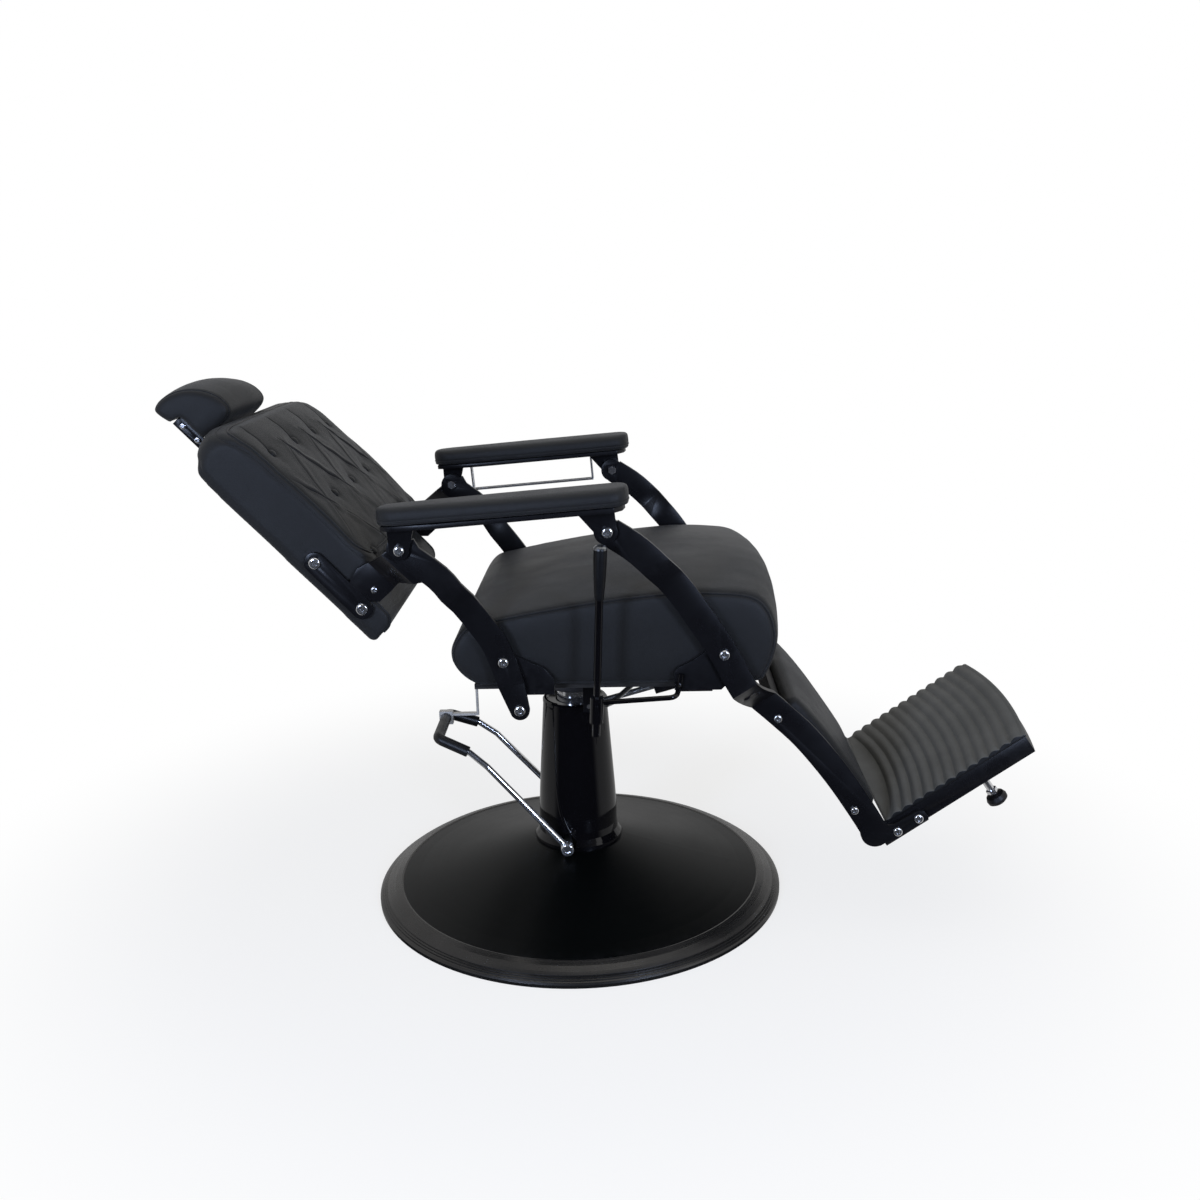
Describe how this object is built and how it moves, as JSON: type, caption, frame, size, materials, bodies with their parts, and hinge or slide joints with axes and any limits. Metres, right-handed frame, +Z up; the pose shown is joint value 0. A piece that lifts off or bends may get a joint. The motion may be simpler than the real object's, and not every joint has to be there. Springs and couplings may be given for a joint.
{
  "type": "hydraulic barber chair",
  "caption": "Reclining hydraulic barber chair with tufted back, sliding headrest, padded armrests, calf pad and ribbed footplate on a round pump base.",
  "frame": {"origin": "centre of the round base at floor level, on the column's axis", "axes": "+Z up, +X towards the sitter's front, -Y the sitter's right, the side with the recline lever"},
  "size_m": [1.4085, 0.72, 0.915],
  "materials": {
    "leather": "black upholstery leather, fine grain",
    "black_steel": "satin black powder coat",
    "gloss_black": "gloss black enamel",
    "dome_black": "satin black paint on pressed steel",
    "ring_grey": "satin dark grey paint",
    "chrome": "polished chrome plate",
    "steel": "plain machined steel",
    "iron": "cast iron",
    "bronze": "bearing bronze",
    "rubber": "black rubber",
    "tread": "dark warm grey rubber",
    "grip_plastic": "black plastic",
    "zinc_grey": "satin grey",
    "plywood": "black-stained plywood"
  },
  "bodies": {
    "base": {"base_ring": "ring_grey", "base_dome": "dome_black", "base_weight": "iron", "pump_body": "iron", "pump_bolts": "steel", "ram_gland": "bronze", "column_shroud": "gloss_black", "shroud_collar": "gloss_black"},
    "lift": {"ram": "chrome", "thrust_ring": "bronze"},
    "pedal": {"pedal_shaft": "steel", "pedal_lever": "chrome", "pedal_grip": "rubber", "pedal_bolts": "chrome", "pedal_hook": "zinc_grey"},
    "plunger": {"pump_plunger": "steel"},
    "seat": {"swivel_head": "black_steel", "seat_frame": "black_steel", "seat_brackets_front": "black_steel", "seat_brackets_rear": "black_steel", "seat_board": "plywood", "seat_cushion": "leather", "seat_pivot_bolts": "chrome", "lever_guard_rod": "black_steel", "release_rod": "chrome"},
    "strut_rod": {"cylinder_rod": "chrome"},
    "strut_barrel": {"cylinder_barrel": "black_steel"},
    "back": {"rear_link_right": "black_steel", "rear_link_left": "black_steel", "back_straps": "black_steel", "back_shell": "leather", "back_cushion": "leather", "back_buttons": "leather", "back_screws": "chrome", "arm_bolts_rear": "chrome", "headrest_sockets": "black_steel"},
    "headrest": {"headrest_prongs": "black_steel", "headrest_cushion": "leather", "headrest_screws": "chrome"},
    "leg_rest": {"front_link_right": "black_steel", "front_link_left": "black_steel", "leg_cross_tube": "black_steel", "calf_board": "black_steel", "calf_cushion": "leather", "footplate_tray": "black_steel", "tread_pad": "tread", "leg_bolts": "chrome", "foot_studs": "chrome", "stud_feet": "rubber", "arm_bolts_front": "chrome"},
    "armrest_right": {"armrest_rail_right": "black_steel", "armrest_pad_right": "leather"},
    "armrest_left": {"armrest_rail_left": "black_steel", "armrest_pad_left": "leather", "towel_rail": "chrome"},
    "lever": {"lever_rod": "black_steel", "lever_sleeve": "chrome", "lever_grip": "grip_plastic", "lever_cap": "chrome"}
  },
  "joints": [
    {"name": "seat_lift", "type": "slide", "parent": "base", "child": "lift", "axis": [0, 0, 1], "range_m": [0, 0.15]},
    {"name": "seat_swivel", "type": "hinge", "parent": "lift", "child": "seat", "pos_m": [0, 0, 0.372], "axis": [0, 0, 1], "continuous": true},
    {"name": "back_recline", "type": "hinge", "parent": "seat", "child": "back", "pos_m": [-0.093, 0, 0.504], "axis": [0, 1, 0], "range_deg": [0, 34.5]},
    {"name": "leg_rest_swing", "type": "hinge", "parent": "seat", "child": "leg_rest", "pos_m": [0.241, 0, 0.511], "axis": [0, 1, 0], "range_deg": [0, 31.56]},
    {"name": "armrest_right_pivot", "type": "hinge", "parent": "back", "child": "armrest_right", "pos_m": [-0.237, 0, 0.684], "axis": [0, 1, 0], "range_deg": [-36.7, 0]},
    {"name": "armrest_left_pivot", "type": "hinge", "parent": "back", "child": "armrest_left", "pos_m": [-0.237, 0, 0.684], "axis": [0, 1, 0], "range_deg": [-36.7, 0]},
    {"name": "headrest_height", "type": "slide", "parent": "back", "child": "headrest", "axis": [-0.682, 0, 0.7314], "range_m": [0, 0.06]},
    {"name": "strut_swing", "type": "hinge", "parent": "seat", "child": "strut_rod", "pos_m": [0.028, 0, 0.366], "axis": [0, 1, 0], "range_deg": [-1.2, 0]},
    {"name": "strut_stroke", "type": "slide", "parent": "strut_rod", "child": "strut_barrel", "axis": [0.9621, 0, 0.2727], "range_m": [-0.0465, 0]},
    {"name": "recline_lever", "type": "hinge", "parent": "seat", "child": "lever", "pos_m": [0.048, 0, 0.446], "axis": [0, 1, 0], "range_deg": [-15, 0], "stiffness_Nm_per_rad": 6, "springref_deg": 8.59},
    {"name": "pump_pedal", "type": "hinge", "parent": "base", "child": "pedal", "pos_m": [-0.017, 0, 0.105], "axis": [0, 1, 0], "range_deg": [-24, 0], "stiffness_Nm_per_rad": 20, "springref_deg": 14.32},
    {"name": "pump_plunger_slide", "type": "slide", "parent": "base", "child": "plunger", "axis": [0, 0, -1], "range_m": [0, 0.012]}
  ],
  "couplings": [
    {"joint": "leg_rest_swing", "follows": "back_recline", "ratio": 0.9091},
    {"joint": "armrest_right_pivot", "follows": "back_recline", "ratio": -1.0579},
    {"joint": "armrest_left_pivot", "follows": "back_recline", "ratio": -1.0579},
    {"joint": "strut_swing", "follows": "back_recline", "ratio": -0.0293},
    {"joint": "strut_stroke", "follows": "back_recline", "m_per_rad": -0.07346},
    {"joint": "pump_plunger_slide", "follows": "pump_pedal", "m_per_rad": -0.0262}
  ]
}
